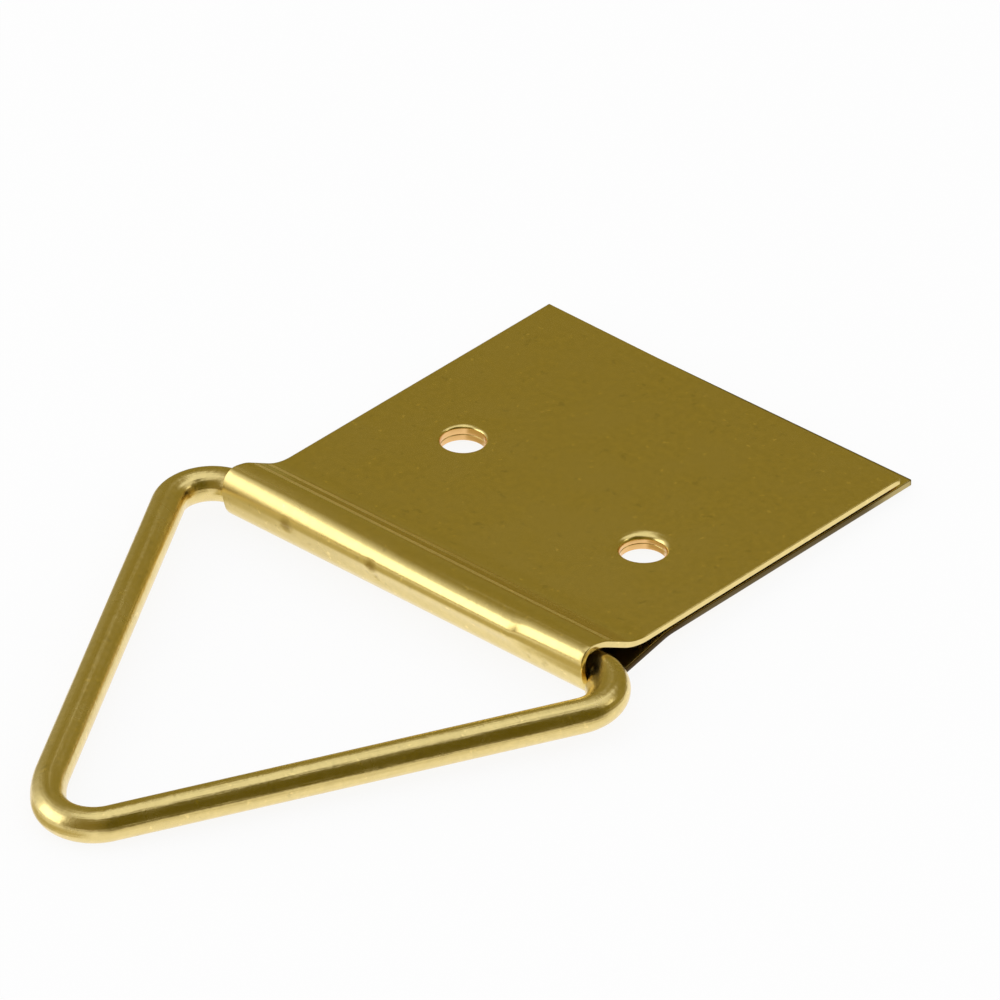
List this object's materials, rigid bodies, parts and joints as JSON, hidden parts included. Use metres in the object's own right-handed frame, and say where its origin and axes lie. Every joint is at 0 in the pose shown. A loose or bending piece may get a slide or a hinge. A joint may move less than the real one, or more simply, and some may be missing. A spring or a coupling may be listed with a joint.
{
  "type": "picture hanger",
  "caption": "Brass picture hanger: a folded sheet plate with nail holes, whose rolled knuckle carries a swinging bent wire triangle for hanging a frame on a hook or nail.",
  "frame": {"origin": "midway between the two nail holes, on the flat underside of the plate's lower leaf", "axes": "X along the hinge wire, +Y from the ring's tip towards the plate's back edge, +Z out of the plate's front face, away from the surface it is nailed to"},
  "size_m": [0.034, 0.0567, 0.0043],
  "materials": {
    "sheet_brass": "bright rolled sheet, lightly speckled and dull on the flat face",
    "wire_brass": "bright drawn wire"
  },
  "bodies": {
    "plate": {"hanger_plate": "sheet_brass"},
    "ring": {"hanging_ring": "wire_brass"}
  },
  "joints": [
    {"name": "ring_swing", "type": "hinge", "parent": "plate", "child": "ring", "pos_m": [0, -0.01125, 0.00065], "axis": [1, 0, 0], "range_deg": [-168, 158]}
  ]
}
